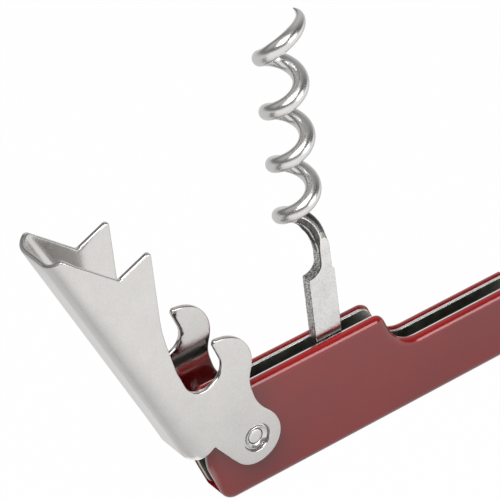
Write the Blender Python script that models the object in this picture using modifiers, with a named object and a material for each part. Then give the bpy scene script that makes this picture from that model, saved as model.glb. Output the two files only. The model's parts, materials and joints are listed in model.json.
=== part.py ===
"""A waiter's corkscrew, standing on the underside of its handle with the lever and the worm open.

The handle is a red folded shell over two steel liners. A folded steel lever turns on a rivet at
one end, a steel worm turns on a pin between the liners, and a short blade folds into the slot at
the other end. A leaf spring on the shell's web presses on the worm and the blade.

X runs along the handle from the lever to the blade, Y across its thickness, and Z up.
The origin is in the middle of the handle's underside. Sizes are in metres.
"""

import math

import bmesh
import bpy
from mathutils import Matrix, Vector

MM = 0.001

# Clearances
RUN = 0.3 * MM
LAYER_GAP = 0.08 * MM
PIN_GAP = 0.12 * MM
SLOT_GAP = 0.2 * MM
POINT_GAP = 3.7 * MM
NICK_CLEAR = 0.3 * MM

# Handle, with X places given from the lever's end
HIGH_TOP = 21.2 * MM
LOW_TOP = 13.2 * MM
STEP_AT = 38.0 * MM
STEP_RUN = 2.8 * MM
STEP_FILLET = 6.5 * MM
STEP_CORNER = 2.2 * MM
END_SLANT = 2.9 * MM
END_FLAT = 3.0 * MM
END_RADIUS = 8.0 * MM
END_CORNER = 1.4 * MM
END_FOOT = 2.6 * MM
TAIL_RADIUS = 5.5 * MM
SHELL_WALL = 1.25 * MM
WEB = 1.25 * MM
SHELL_EDGE = 0.85 * MM
LINER = 0.7 * MM
LINER_INSET = 0.3 * MM
THUMB_RADIUS = 8.0 * MM
PIN_EDGE = 0.2 * MM

# Worm, with heights given from its pivot
WORM_AT = 28.25 * MM
WORM_DIAMETER = 8.7 * MM
WIRE = 2.7 * MM
PITCH = 10.0 * MM
WORM_OFFSET = 2.75 * MM
HELIX_FROM = 65.0
HELIX_TURN = 1390.0
TIP_TURN = 125.0
TIP_TAPER = 2.0
TIP_LIFT = 0.4 * MM
TIP_FLARE = 0.5 * MM
TIP_RADIUS = 0.12 * MM
SHANK_WIDTH = 5.4 * MM
SHANK = 2.1 * MM
SHANK_TOP = 18.25 * MM
NECK_WIDTH = 2.1 * MM
NECK_SHIFT = 0.9 * MM
NECK_RISE = 2.2 * MM
NECK_RUN = 2.15 * MM
NECK_BEND = 6.4 * MM
NECK_PULL = 0.42
WORM_REST = 0.45 * MM
WORM_PIN = 2.4 * MM

# Lever, with places given along it from its pivot and up from it when it is folded
LEVER_AT = 8.15 * MM
LEVER_PIVOT_Z = 12.98 * MM
LEVER_OPEN = 111.4
SHEET = 1.0 * MM
BEND = 3.8 * MM
BEND_INSIDE_LEAST = 0.2 * MM
WORM_SIDE_GAP = 1.15 * MM
COVER_GAP = 1.63 * MM
LIP_REACH = 10.45 * MM
LIP_DEPTH = 2.3 * MM
LIP_LEAN = 0.2 * MM
LIP_CORNER = 0.8 * MM
TOOTH_RUN = 14.55 * MM
TOOTH_DROP = 2.85 * MM
TOOTH_CORNER = 0.6 * MM
TOOTH_NOTCH = 3.95 * MM
NOTCH_LEAN = 0.15 * MM
NOTCH_CORNER = 0.5 * MM
ROOT_RUN = 8.7 * MM
ROOT_UP = 3.15 * MM
ROOT_RADIUS = 25.0 * MM
HOOK_AT = 16.35 * MM
HOOK_GAP = 7.25 * MM
HOOK_GAP_UP = 5.3 * MM
HOOK_GAP_DIP = 0.45 * MM
HOOK_GAP_RADIUS = 8.0 * MM
HOOK_REACH = 7.25 * MM
HOOK_TIP_DROP = 0.65 * MM
HOOK_TIP_CORNER = 0.6 * MM
HOOK_NOSE_BACK = 2.2 * MM
HOOK_NOSE_DOWN = 4.15 * MM
HOOK_NOSE_RADIUS = 2.6 * MM
HOOK_CROWN_BACK = 0.6 * MM
HOOK_CROWN_DOWN = 5.85 * MM
HOOK_CROWN_RADIUS = 3.4 * MM
THROAT_BACK = 5.75 * MM
THROAT_RISE = 0.5 * MM
THROAT_RADIUS = 5.0 * MM
EAR_RIM = 1.95 * MM
EAR_WAIST = 1.6 * MM
EAR_WAIST_AT = 5.8 * MM
EAR_WAIST_RADIUS = 8.0 * MM
EAR_FOOT_RADIUS = 6.0 * MM
EAR_SHOULDER = 4.0 * MM
HEEL_AT = 5.2 * MM
HEEL_UP = 6.75 * MM
HEEL_DIP = 1.1 * MM
HEEL_RADIUS = 9.0 * MM
HEEL_CORNER = 0.4 * MM
HEEL_SLANT = 2.2 * MM
DIMPLE_FLARE = 0.35 * MM
CUP_WALL = 0.6 * MM
CUP_RIM = 0.5 * MM
RIVET = 3.1 * MM
WASHER_WALL = 0.75 * MM
WASHER_GAP = 0.18 * MM
WASHER = 1.7 * MM
RIVET_SUNK = 0.35 * MM
BUSH_WALL = 0.8 * MM

# Blade, with places given from its pivot towards its point
KNIFE_FROM_TAIL = 6.7 * MM
KNIFE_LENGTH = 42.0 * MM
KNIFE_HEIGHT = 8.4 * MM
KNIFE = 1.5 * MM
KNIFE_EDGE = 0.2 * MM
KNIFE_TANG = 9.0 * MM
KNIFE_SWEEP = 11.0 * MM
KNIFE_SPINE_RADIUS = 14.0 * MM
KNIFE_BELLY_RADIUS = 12.0 * MM
KNIFE_POINT_DROP = 0.8 * MM
KNIFE_POINT_CORNER = 0.4 * MM
CHOIL = 1.6 * MM
CHOIL_DEPTH = 0.7 * MM
CHOIL_CORNER = 0.3 * MM
GRIND = 2.6 * MM
NICK_AT = 31.0 * MM
NICK_LENGTH = 8.0 * MM
NICK_HEIGHT = 0.8 * MM
NICK_DROP = 1.1 * MM
NICK_DEPTH = 0.4 * MM
KNIFE_PIN = 2.4 * MM

# Leaf spring
SPRING_LEAF = 1.1 * MM
SPRING_ARM = 1.5 * MM
SPRING_ARM_RADIUS = 7.0 * MM
SPRING_EYE_AT = 55.0 * MM
SPRING_EYE_WALL = 1.3 * MM
SPRING_EYE_RADIUS = 1.5 * MM
SPRING_EYE_FILLET = 2.0 * MM
SPRING_PIN = 2.0 * MM
SPRING_TIP = 7.0 * MM
SPRING_CORNER = 0.4 * MM

# Facets
ARC_STEP = 15.0
FULL = 0.98
TURN_STEPS = 32
WIRE_SIDES = 14
HELIX_STEP = 15.0
NECK_STEPS = 8
SHOULDER_STEPS = 5
TANG_STEP = 15
SHANK_SQUARE = 12
NECK_SQUARE = 6
ROUND = 2
SHARP = 35.0

# Fits worked out from the sizes above
SLOT = max(SHANK, KNIFE) + 2 * SLOT_GAP
SPRING_EYE = SPRING_PIN + 2 * SPRING_EYE_WALL
HANDLE_LENGTH = SPRING_EYE_AT + SPRING_EYE + POINT_GAP + KNIFE_LENGTH + KNIFE_FROM_TAIL
THICKNESS = SLOT + 2 * (LINER + LAYER_GAP + SHELL_WALL)
LINER_Y = (SLOT + LINER) / 2
LINER_BOTTOM = WEB + LAYER_GAP
WORM_AXIS_Z = LOW_TOP + WORM_REST + WORM_DIAMETER / 2
WORM_PIVOT_Z = WORM_AXIS_Z - WORM_OFFSET
NECK_STRAIGHT = SHANK_TOP + NECK_RISE + NECK_RUN
HELIX_START = NECK_STRAIGHT + NECK_BEND
HELIX_TO = HELIX_FROM + HELIX_TURN
TOOTH_ROOT = HOOK_AT + HOOK_GAP + ROOT_RUN
TOOTH_AT = TOOTH_ROOT + TOOTH_RUN
LEVER_LENGTH = TOOTH_AT + LIP_REACH
LEVER_COVER = max(WORM_AXIS_Z + WORM_DIAMETER / 2, HIGH_TOP) + COVER_GAP
LEVER_BACK = LEVER_COVER + SHEET - LEVER_PIVOT_Z
LEVER_WIDTH = max(WORM_DIAMETER, THICKNESS) + 2 * (WORM_SIDE_GAP + SHEET)
HOOK_LOW = HOOK_GAP_UP - HOOK_GAP
EAR_FLOOR = THICKNESS / 2 + RUN
RIVET_HOLE = RIVET + 2 * PIN_GAP
WASHER_DIAMETER = RIVET_HOLE + 2 * WASHER_WALL
BUSH_DIAMETER = RIVET_HOLE + 2 * BUSH_WALL
DIMPLE_FLOOR = WASHER_DIAMETER + 2 * WASHER_GAP
DIMPLE_MOUTH = DIMPLE_FLOOR + 2 * DIMPLE_FLARE
EAR_RADIUS = DIMPLE_MOUTH / 2 + EAR_RIM
SPRING_BOTTOM = LINER_BOTTOM + LAYER_GAP
SPRING_EYE_Z = SPRING_BOTTOM + SPRING_EYE / 2
SPRING_TOP = WORM_PIVOT_Z - SHANK_WIDTH / 2 - RUN
SPRING_WIDTH = SLOT - 2 * RUN
KNIFE_Z = SPRING_BOTTOM + SPRING_LEAF + RUN + KNIFE_HEIGHT / 2
NICK_TOP = KNIFE_HEIGHT / 2 - NICK_DROP
THUMB_FLOOR = KNIFE_Z + NICK_TOP - NICK_HEIGHT - NICK_CLEAR
CUT = 2.0 * MM

RED = (0.30, 0.018, 0.022)
STEEL = (0.62, 0.61, 0.59)
BRIGHT = (0.72, 0.71, 0.69)
DARK = (0.20, 0.20, 0.20)


def from_left(distance):
    """The X of a place given from the lever's end of the handle."""
    return distance - HANDLE_LENGTH / 2


LEVER_PIVOT = Vector((from_left(LEVER_AT), 0, LEVER_PIVOT_Z))
WORM_PIVOT = Vector((from_left(WORM_AT), 0, WORM_PIVOT_Z))
KNIFE_PIVOT = Vector((from_left(HANDLE_LENGTH - KNIFE_FROM_TAIL), 0, KNIFE_Z))
SPRING_PIVOT = Vector((from_left(SPRING_EYE_AT), 0, SPRING_EYE_Z))


def clear_scene():
    for obj in list(bpy.data.objects):
        bpy.data.objects.remove(obj, do_unlink=True)


def new_collection(name):
    collection = bpy.data.collections.new(name)
    bpy.context.scene.collection.children.link(collection)
    return collection


def material(name, colour, roughness, metallic):
    made = bpy.data.materials.new(name)
    made.use_nodes = True
    shader = made.node_tree.nodes["Principled BSDF"]
    shader.inputs["Base Color"].default_value = (*colour, 1)
    shader.inputs["Roughness"].default_value = roughness
    shader.inputs["Metallic"].default_value = metallic
    return made


def rounded(corners):
    """The points of an outline given as (across, up, radius) corners, each corner an arc."""
    bends = []
    for i, (x, z, radius) in enumerate(corners):
        here = Vector((x, z))
        back = Vector(corners[i - 1][:2]) - here
        ahead = Vector(corners[(i + 1) % len(corners)][:2]) - here
        turn = math.pi - back.angle(ahead)
        bends.append((here, back, ahead, turn, radius * math.tan(turn / 2)))
    points = []
    for i, (here, back, ahead, turn, wanted) in enumerate(bends):
        reach = wanted
        for side, other in ((back, bends[i - 1]), (ahead, bends[(i + 1) % len(bends)])):
            if wanted + other[4] > side.length * FULL:
                reach = min(reach, side.length * FULL * wanted / (wanted + other[4]))
        if reach < 1e-6:
            points.append(here)
            continue
        radius = reach / math.tan(turn / 2)
        steps = max(1, math.ceil(math.degrees(turn) / ARC_STEP))
        start = here + back.normalized() * reach
        inward = (back.normalized() + ahead.normalized()).normalized()
        centre = here + inward * (radius / math.cos(turn / 2))
        side = 1 if back.cross(ahead) < 0 else -1
        for k in range(steps + 1):
            spoke = start - centre
            spoke.rotate(Matrix.Rotation(side * turn * k / steps, 2))
            points.append(centre + spoke)
    return points


def mesh_object(name, mesh, collection):
    obj = bpy.data.objects.new(name, mesh)
    collection.objects.link(obj)
    return obj


def prism(name, points, thickness, collection, along="Y"):
    """A flat outline with a thickness, centred on its plane. The outline is X and Z, or Y and Z."""
    curve = bpy.data.curves.new(name, "CURVE")
    curve.dimensions = "2D"
    curve.fill_mode = "BOTH"
    curve.extrude = thickness / 2
    spline = curve.splines.new("POLY")
    spline.points.add(len(points) - 1)
    for point, place in zip(spline.points, points):
        point.co = (place[0], place[1], 0, 1)
    spline.use_cyclic_u = True
    guide = mesh_object(name + "_curve", curve, collection)
    bpy.context.view_layer.update()
    graph = bpy.context.evaluated_depsgraph_get()
    mesh = bpy.data.meshes.new_from_object(guide.evaluated_get(graph))
    bpy.data.objects.remove(guide, do_unlink=True)
    stand = Matrix.Rotation(math.radians(90), 4, "X")
    if along == "X":
        stand = Matrix.Rotation(math.radians(90), 4, "Z") @ stand
    shape = bmesh.new()
    shape.from_mesh(mesh)
    bmesh.ops.remove_doubles(shape, verts=shape.verts, dist=1e-7)
    bmesh.ops.dissolve_limit(shape, angle_limit=1e-3, verts=shape.verts, edges=shape.edges)
    bmesh.ops.transform(shape, matrix=stand, verts=shape.verts)
    bmesh.ops.recalc_face_normals(shape, faces=shape.faces)
    shape.to_mesh(mesh)
    shape.free()
    mesh.name = name
    return mesh_object(name, mesh, collection)


def box(name, low, high, collection):
    mesh = bpy.data.meshes.new(name)
    shape = bmesh.new()
    bmesh.ops.create_cube(shape, size=1)
    size = Vector(high) - Vector(low)
    middle = (Vector(high) + Vector(low)) / 2
    bmesh.ops.scale(shape, vec=size, verts=shape.verts)
    bmesh.ops.translate(shape, vec=middle, verts=shape.verts)
    shape.to_mesh(mesh)
    shape.free()
    return mesh_object(name, mesh, collection)


def cone(name, start, end, start_radius, end_radius, collection):
    """A round bar or cone between two points."""
    run = Vector(end) - Vector(start)
    mesh = bpy.data.meshes.new(name)
    shape = bmesh.new()
    turn = run.to_track_quat("Z", "Y").to_matrix().to_4x4()
    place = Matrix.Translation((Vector(start) + Vector(end)) / 2) @ turn
    bmesh.ops.create_cone(
        shape,
        cap_ends=True,
        segments=TURN_STEPS,
        radius1=start_radius,
        radius2=end_radius,
        depth=run.length,
        matrix=place,
    )
    shape.to_mesh(mesh)
    shape.free()
    return mesh_object(name, mesh, collection)


def turned(name, profile, closed, collection):
    """A profile of (radius, place along Y) points, turned about Y."""
    mesh = bpy.data.meshes.new(name)
    edges = [(i, i + 1) for i in range(len(profile) - 1)]
    if closed:
        edges.append((len(profile) - 1, 0))
    mesh.from_pydata([(radius, -place, 0) for radius, place in profile], edges, [])
    obj = mesh_object(name, mesh, collection)
    screw = obj.modifiers.new("turn", "SCREW")
    screw.axis = "Y"
    screw.steps = TURN_STEPS
    screw.render_steps = TURN_STEPS
    screw.use_merge_vertices = True
    screw.merge_threshold = 1e-6
    screw.use_normal_calculate = not closed
    return obj


def tube(name, outer, inner, length, collection):
    half = length / 2
    profile = [(outer / 2, -half), (outer / 2, half), (inner / 2, half), (inner / 2, -half)]
    return turned(name, profile, True, collection)


def pin(name, diameter, length, collection):
    half = length / 2
    edge = PIN_EDGE
    profile = [
        (0, -half),
        (diameter / 2 - edge, -half),
        (diameter / 2, edge - half),
        (diameter / 2, half - edge),
        (diameter / 2 - edge, half),
        (0, half),
    ]
    return turned(name, profile, False, collection)


def boolean(obj, tool, operation):
    tool.hide_render = True
    tool.display_type = "WIRE"
    change = obj.modifiers.new(tool.name, "BOOLEAN")
    change.operation = operation
    change.solver = "EXACT"
    change.object = tool


def cross_hole(obj, name, diameter, x, z, cutters):
    """A round hole through the piece along Y, at a place in the piece's own frame."""
    reach = LEVER_WIDTH
    radius = diameter / 2
    boolean(obj, cone(name, (x, -reach, z), (x, reach, z), radius, radius, cutters), "DIFFERENCE")


def handle_outline(inset, bottom):
    """The side view of the handle, drawn in all round by inset and with its underside at bottom."""
    left = from_left(0) + inset
    right = from_left(HANDLE_LENGTH) - inset
    high = HIGH_TOP - inset
    low = LOW_TOP - inset
    step = from_left(STEP_AT) - inset
    return rounded(
        [
            (left + END_SLANT, bottom, END_FOOT),
            (right, bottom, TAIL_RADIUS),
            (right, low, TAIL_RADIUS),
            (step + STEP_RUN, low, STEP_FILLET),
            (step, high, STEP_CORNER),
            (left + END_SLANT, high, END_CORNER),
            (left, (HIGH_TOP + END_FLAT) / 2, END_RADIUS),
            (left, (HIGH_TOP - END_FLAT) / 2, END_RADIUS),
        ]
    )


def thumb_cut(obj, cutters):
    """A round cut in the handle's top, down to the blade's nail nick."""
    x = KNIFE_PIVOT.x - NICK_AT
    z = THUMB_FLOOR + THUMB_RADIUS
    cross_hole(obj, obj.name + "_thumb", 2 * THUMB_RADIUS, x, z, cutters)


def handle_shell(parts, cutters):
    shell = prism("handle_shell", handle_outline(0, 0), THICKNESS, parts)
    edge = shell.modifiers.new("outer_edges", "BEVEL")
    edge.width = SHELL_EDGE
    edge.segments = 3
    edge.limit_method = "ANGLE"
    edge.angle_limit = math.radians(60)
    inner = THICKNESS / 2 - SHELL_WALL
    low = (from_left(0) - CUT, -inner, WEB)
    high = (from_left(HANDLE_LENGTH) + CUT, inner, HIGH_TOP + CUT)
    boolean(shell, box("shell_slot", low, high, cutters), "DIFFERENCE")
    cross_hole(shell, "shell_rivet", RIVET_HOLE, LEVER_PIVOT.x, LEVER_PIVOT.z, cutters)
    thumb_cut(shell, cutters)
    return shell


def liner(name, side, parts, cutters):
    plate = prism(name, handle_outline(LINER_INSET, LINER_BOTTOM), LINER, parts)
    plate.location.y = side * LINER_Y
    for label, diameter, pivot in (
        ("rivet", RIVET_HOLE, LEVER_PIVOT),
        ("worm", WORM_PIN + 2 * PIN_GAP, WORM_PIVOT),
        ("knife", KNIFE_PIN + 2 * PIN_GAP, KNIFE_PIVOT),
        ("spring", SPRING_PIN + 2 * PIN_GAP, SPRING_PIVOT),
    ):
        cross_hole(plate, f"{name}_{label}", diameter, pivot.x, pivot.z, cutters)
    thumb_cut(plate, cutters)
    return plate


def lever_outline():
    """The lever's side view, folded: along it from the pivot, and up from it to the back."""
    hook_far = HOOK_AT + HOOK_REACH
    return rounded(
        [
            (LEVER_LENGTH, LEVER_BACK, 0),
            (LEVER_LENGTH + LIP_LEAN, LEVER_BACK - LIP_DEPTH, LIP_CORNER),
            (TOOTH_AT - NOTCH_LEAN, TOOTH_NOTCH, NOTCH_CORNER),
            (TOOTH_AT, -TOOTH_DROP, TOOTH_CORNER),
            (TOOTH_ROOT, ROOT_UP, ROOT_RADIUS),
            (HOOK_AT + HOOK_GAP, HOOK_GAP_UP - HOOK_GAP_DIP, HOOK_GAP_RADIUS),
            (HOOK_AT, HOOK_GAP_UP, HOOK_GAP / 2),
            (HOOK_AT, HOOK_LOW, HOOK_GAP / 2),
            (hook_far, HOOK_LOW - HOOK_TIP_DROP, HOOK_TIP_CORNER),
            (hook_far - HOOK_NOSE_BACK, HOOK_LOW - HOOK_NOSE_DOWN, HOOK_NOSE_RADIUS),
            (HOOK_AT - HOOK_CROWN_BACK, HOOK_LOW - HOOK_CROWN_DOWN, HOOK_CROWN_RADIUS),
            (HOOK_AT - THROAT_BACK, THROAT_RISE - EAR_RADIUS, THROAT_RADIUS),
            (EAR_WAIST_AT, EAR_WAIST - EAR_RADIUS, EAR_WAIST_RADIUS),
            (EAR_WAIST_AT / 4, -EAR_RADIUS, EAR_FOOT_RADIUS),
            (-EAR_RADIUS, -EAR_RADIUS, EAR_RADIUS),
            (-EAR_RADIUS, EAR_SHOULDER, EAR_RADIUS),
            (HEEL_AT / 8, HEEL_UP - HEEL_DIP, HEEL_RADIUS),
            (HEEL_AT, HEEL_UP, HEEL_CORNER),
            (HEEL_AT + HEEL_SLANT, LEVER_BACK, 0),
        ]
    )


def lever_channel(name, cutters):
    """The folded sheet's section, open downwards, longer than the lever at both ends."""
    low = min(HOOK_LOW - HOOK_CROWN_DOWN, -TOOTH_DROP, -EAR_RADIUS) - CUT
    outer = LEVER_WIDTH / 2
    inner = outer - SHEET
    bend = max(BEND - SHEET, BEND_INSIDE_LEAST)
    section = rounded(
        [
            (-outer, low, 0),
            (-inner, low, 0),
            (-inner, LEVER_BACK - SHEET, bend),
            (inner, LEVER_BACK - SHEET, bend),
            (inner, low, 0),
            (outer, low, 0),
            (outer, LEVER_BACK, BEND),
            (-outer, LEVER_BACK, BEND),
        ]
    )
    return prism(name, section, 4 * LEVER_LENGTH, cutters, along="X")


def lever(parts, cutters):
    arm = prism("lever", lever_outline(), LEVER_WIDTH + 2 * CUT, parts)
    boolean(arm, lever_channel("lever_sheet", cutters), "INTERSECT")
    face = LEVER_WIDTH / 2
    for side, label in ((-1, "front"), (1, "rear")):
        floor = (0, side * EAR_FLOOR, 0)
        root = (0, side * (face - SHEET / 2), 0)
        floor_radius = DIMPLE_FLOOR / 2 + CUP_WALL
        mouth_radius = DIMPLE_MOUTH / 2 + CUP_RIM
        cup = cone(f"lever_{label}_cup", floor, root, floor_radius, mouth_radius, cutters)
        boolean(arm, cup, "UNION")
        depth = face - EAR_FLOOR - SHEET
        past = CUT / depth
        bottom = (0, side * (EAR_FLOOR + SHEET), 0)
        mouth = (0, side * (face + CUT), 0)
        wide = DIMPLE_MOUTH / 2 + DIMPLE_FLARE * past
        hollow = cone(f"lever_{label}_dimple", bottom, mouth, DIMPLE_FLOOR / 2, wide, cutters)
        boolean(arm, hollow, "DIFFERENCE")
    cross_hole(arm, "lever_hole", RIVET_HOLE, 0, 0, cutters)
    return arm


def worm_path():
    """(centre, half width, half thickness, squareness) of the worm's sections, from tang to tip."""
    half = SHANK_WIDTH / 2
    thick = SHANK / 2
    neck = NECK_WIDTH / 2
    wire = WIRE / 2
    sections = []
    for turn in range(90 - TANG_STEP, -1, -TANG_STEP):
        low = math.radians(turn)
        centre = Vector((0, 0, -half * math.sin(low)))
        sections.append((centre, half * math.cos(low), thick, SHANK_SQUARE))
    sections.append((Vector((0, 0, SHANK_TOP)), half, thick, SHANK_SQUARE))
    for k in range(1, SHOULDER_STEPS + 1):
        inward = math.sin(k / SHOULDER_STEPS * math.pi / 2)
        part = 1 - math.cos(k / SHOULDER_STEPS * math.pi / 2)
        centre = Vector((NECK_SHIFT * inward, 0, SHANK_TOP + NECK_RISE * part))
        square = SHANK_SQUARE + (NECK_SQUARE - SHANK_SQUARE) * part
        sections.append((centre, half + (neck - half) * inward, thick, square))
    start = Vector((NECK_SHIFT, 0, NECK_STRAIGHT))
    end, ahead = helix_point(HELIX_FROM)[0], helix_tangent(HELIX_FROM)
    pull = (end - start).length * NECK_PULL
    for k in range(NECK_STEPS):
        part = k / NECK_STEPS
        centre = bezier(start, start + Vector((0, 0, pull)), end - ahead * pull, end, part)
        square = NECK_SQUARE + (ROUND - NECK_SQUARE) * part
        width = neck + (wire - neck) * part
        sections.append((centre, width, thick + (wire - thick) * part, square))
    steps = math.ceil(HELIX_TURN / HELIX_STEP)
    for k in range(steps + 1):
        centre, radius = helix_point(HELIX_FROM + HELIX_TURN * k / steps)
        sections.append((centre, radius, radius, ROUND))
    return sections


def helix_point(angle):
    """The wire's centre and radius at an angle. The point is ground from the inside of the wire."""
    past = max(0.0, (angle - HELIX_TO + TIP_TURN) / TIP_TURN)
    radius = WIRE / 2 + (TIP_RADIUS - WIRE / 2) * past**TIP_TAPER
    reach = WORM_DIAMETER / 2 + TIP_FLARE * past - radius
    turn = math.radians(angle)
    height = HELIX_START + PITCH * (angle - HELIX_FROM) / 360 + TIP_LIFT * past**2
    return Vector((reach * math.cos(turn) - WORM_OFFSET, reach * math.sin(turn), height)), radius


def helix_tangent(angle):
    return (helix_point(angle + 1)[0] - helix_point(angle - 1)[0]).normalized()


def bezier(a, b, c, d, t):
    s = 1 - t
    return a * s**3 + b * (3 * s * s * t) + c * (3 * s * t * t) + d * t**3


def worm(parts, cutters):
    """Sections along the shank, neck and helix, joined into one skin with a carried frame."""
    sections = worm_path()
    shape = bmesh.new()
    rings = []
    across = Vector((1, 0, 0))
    for i, (centre, width, thick, square) in enumerate(sections):
        before = sections[max(i - 1, 0)][0]
        after = sections[min(i + 1, len(sections) - 1)][0]
        ahead = (after - before).normalized()
        across = (across - ahead * across.dot(ahead)).normalized()
        deep = ahead.cross(across)
        ring = []
        for k in range(WIRE_SIDES):
            turn = 2 * math.pi * (k + 0.5) / WIRE_SIDES
            x, y = math.cos(turn), math.sin(turn)
            x = math.copysign(abs(x) ** (2 / square), x)
            y = math.copysign(abs(y) ** (2 / square), y)
            ring.append(shape.verts.new(centre + across * (x * width) + deep * (y * thick)))
        rings.append(ring)
    for low, high in zip(rings, rings[1:]):
        for k in range(WIRE_SIDES):
            n = (k + 1) % WIRE_SIDES
            shape.faces.new((low[k], low[n], high[n], high[k]))
    shape.faces.new(reversed(rings[0]))
    shape.faces.new(rings[-1])
    bmesh.ops.recalc_face_normals(shape, faces=shape.faces)
    mesh = bpy.data.meshes.new("worm")
    shape.to_mesh(mesh)
    shape.free()
    obj = mesh_object("worm", mesh, parts)
    cross_hole(obj, "worm_hole", WORM_PIN + 2 * PIN_GAP, 0, 0, cutters)
    return obj


def knife_outline():
    """The blade folded, its point towards the lever, its edge down."""
    half = KNIFE_HEIGHT / 2
    return rounded(
        [
            (half, -half, half),
            (half, half, half),
            (KNIFE_SWEEP - KNIFE_LENGTH, half, KNIFE_SPINE_RADIUS),
            (-KNIFE_LENGTH, -KNIFE_POINT_DROP, KNIFE_POINT_CORNER),
            (KNIFE_SWEEP - KNIFE_LENGTH, -half, KNIFE_BELLY_RADIUS),
            (-KNIFE_TANG, -half, 0),
            (CHOIL / 2 - KNIFE_TANG, CHOIL_DEPTH - half, CHOIL_CORNER),
            (CHOIL - KNIFE_TANG, -half, 0),
        ]
    )


def knife_blade(parts, cutters):
    blade = prism("knife_blade", knife_outline(), KNIFE, parts)
    half = KNIFE_HEIGHT / 2
    edge = KNIFE_EDGE / 2
    lean = math.atan2(KNIFE / 2 - edge, GRIND)
    for side, label in ((-1, "front"), (1, "rear")):
        low = (-KNIFE_LENGTH - CUT, min(0, side * CUT), -KNIFE_HEIGHT)
        high = (-KNIFE_TANG, max(0, side * CUT), 2 * KNIFE_HEIGHT)
        wedge = box(f"knife_{label}_grind", low, high, cutters)
        wedge.data.transform(Matrix.Rotation(-side * lean, 4, "X"))
        wedge.data.transform(Matrix.Translation((0, side * edge, -half)))
        boolean(blade, wedge, "DIFFERENCE")
    low = (-NICK_AT - NICK_LENGTH / 2, -KNIFE / 2 - CUT, NICK_TOP - NICK_HEIGHT)
    high = (-NICK_AT + NICK_LENGTH / 2, NICK_DEPTH - KNIFE / 2, NICK_TOP)
    boolean(blade, box("knife_nick", low, high, cutters), "DIFFERENCE")
    cross_hole(blade, "knife_hole", KNIFE_PIN + 2 * PIN_GAP, 0, 0, cutters)
    return blade


def back_spring(parts, cutters):
    """A leaf on the shell's web, with an arm up to the worm's tang and a foot under the blade's."""
    leaf = SPRING_BOTTOM + SPRING_LEAF
    eye_top = SPRING_BOTTOM + SPRING_EYE
    eye = SPRING_EYE / 2
    x = SPRING_PIVOT.x
    arm_bottom = SPRING_TOP - SPRING_ARM
    tip = WORM_PIVOT.x - SPRING_TIP
    heel = WORM_PIVOT.x + SPRING_TIP
    outline = rounded(
        [
            (tip, SPRING_TOP, SPRING_CORNER),
            (tip, arm_bottom, SPRING_CORNER),
            (heel - SPRING_ARM / 2, arm_bottom, SPRING_ARM_RADIUS - SPRING_ARM),
            (x - SPRING_EYE, SPRING_BOTTOM, SPRING_ARM_RADIUS),
            (KNIFE_PIVOT.x, SPRING_BOTTOM, SPRING_CORNER),
            (KNIFE_PIVOT.x, leaf, SPRING_CORNER),
            (x + SPRING_EYE, leaf, SPRING_EYE_FILLET),
            (x + eye, eye_top, SPRING_EYE_RADIUS),
            (x - eye, eye_top, SPRING_EYE_RADIUS),
            (heel, SPRING_TOP, SPRING_ARM_RADIUS),
        ]
    )
    spring = prism("back_spring", outline, SPRING_WIDTH, parts)
    cross_hole(spring, "spring_hole", SPRING_PIN + 2 * PIN_GAP, x, SPRING_PIVOT.z, cutters)
    return spring


def rivet_set(parts):
    """The lever's rivet with a washer in each dimple, and the bush that keeps the liners apart."""
    seat = EAR_FLOOR + SHEET + LAYER_GAP
    rivet = pin("lever_rivet", RIVET, 2 * (seat + WASHER - RIVET_SUNK), parts)
    washers = []
    for name, side in (("front_rivet_washer", -1), ("rear_rivet_washer", 1)):
        washer = tube(name, WASHER_DIAMETER, RIVET_HOLE, WASHER, parts)
        washer.location.y = side * (seat + WASHER / 2)
        washers.append(washer)
    bush = tube("lever_bush", BUSH_DIAMETER, RIVET_HOLE, SLOT - 2 * LAYER_GAP, parts)
    return [rivet, *washers, bush]


def place(obj, pivot, turn=0.0):
    obj.location += pivot
    obj.rotation_euler.y = math.radians(turn)


def finish(obj, look):
    obj.data.materials.clear()
    obj.data.materials.append(look)
    obj.data.shade_smooth()
    obj.data.set_sharp_from_angle(angle=math.radians(SHARP))


def seat_cutters(pieces):
    """Each moving piece's cutters are made in its own frame, so they hang from the piece."""
    for piece in pieces:
        for change in piece.modifiers:
            change.object.parent = piece


def main():
    clear_scene()
    parts = new_collection("waiters_corkscrew")
    cutters = new_collection("cutters")
    red = material("red_lacquer", RED, 0.18, 0.0)
    steel = material("satin_steel", STEEL, 0.32, 1.0)
    bright = material("polished_steel", BRIGHT, 0.15, 1.0)
    dark = material("spring_steel", DARK, 0.4, 1.0)

    finish(handle_shell(parts, cutters), red)
    finish(liner("front_liner", -1, parts, cutters), steel)
    finish(liner("rear_liner", 1, parts, cutters), steel)
    finish(back_spring(parts, cutters), dark)

    hinge = bpy.data.objects.new("lever_axis", None)
    parts.objects.link(hinge)
    hinge.location = LEVER_PIVOT
    arm = lever(parts, cutters)
    arm.parent = hinge
    arm.rotation_euler.y = -math.radians(LEVER_OPEN)
    finish(arm, steel)
    for piece in rivet_set(parts):
        piece.parent = hinge
        finish(piece, bright)

    screw = worm(parts, cutters)
    place(screw, WORM_PIVOT)
    finish(screw, bright)
    blade = knife_blade(parts, cutters)
    place(blade, KNIFE_PIVOT)
    finish(blade, steel)
    through = SLOT + 2 * LINER
    for name, diameter, pivot in (
        ("worm_pin", WORM_PIN, WORM_PIVOT),
        ("knife_pin", KNIFE_PIN, KNIFE_PIVOT),
        ("spring_pin", SPRING_PIN, SPRING_PIVOT),
    ):
        stud = pin(name, diameter, through, parts)
        place(stud, pivot)
        finish(stud, bright)
    seat_cutters((arm, screw, blade))


main()
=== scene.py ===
"""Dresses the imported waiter's corkscrew: smooth pieces, finishes, floor, light and camera."""

import json
import math

import bmesh
import bpy
from bpy.props import FloatProperty, FloatVectorProperty, PointerProperty
from bpy.types import Operator, Panel, PropertyGroup
from mathutils import Matrix, Vector
from mathutils.geometry import delaunay_2d_cdt


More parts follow.
